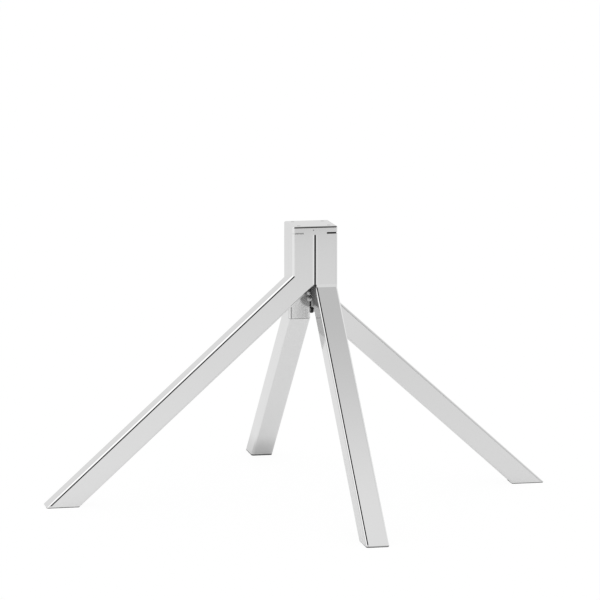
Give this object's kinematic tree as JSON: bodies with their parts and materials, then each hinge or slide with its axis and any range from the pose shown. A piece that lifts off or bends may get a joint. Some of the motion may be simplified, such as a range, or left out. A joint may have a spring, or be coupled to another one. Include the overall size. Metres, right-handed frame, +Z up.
{
  "type": "coffee table base",
  "caption": "Polished steel coffee table base: square tubes clustered as a hub under a drilled plate, each mitred and splayed out as a sloping leg.",
  "frame": {"origin": "middle of the top plate's upper face, on the hub's centre line", "axes": "+Z up; the legs run along -X (left), -Y (front), +X (right) and +Y (back)"},
  "size_m": [0.6799, 0.6437, 0.362],
  "materials": {
    "tube_polish": "mirror polished square tube",
    "plate_polish": "polished flat plate",
    "flush_weld": "weld ground flush and polished",
    "weld_bead": "weld bead as laid, heat darkened",
    "glide_pad": "thin dark pad, matt"
  },
  "bodies": {
    "root": {"upright_left": "tube_polish", "upright_front": "tube_polish", "upright_right": "tube_polish", "upright_back": "tube_polish", "leg_left": "tube_polish", "leg_front": "tube_polish", "leg_right": "tube_polish", "leg_back": "tube_polish", "foot_plate_left": "plate_polish", "foot_plate_front": "plate_polish", "foot_plate_right": "plate_polish", "foot_plate_back": "plate_polish", "glide_left": "glide_pad", "glide_front": "glide_pad", "glide_right": "glide_pad", "glide_back": "glide_pad", "top_plate": "plate_polish", "plate_weld": "flush_weld", "centre_weld": "weld_bead", "knee_weld": "weld_bead"}
  },
  "joints": []
}
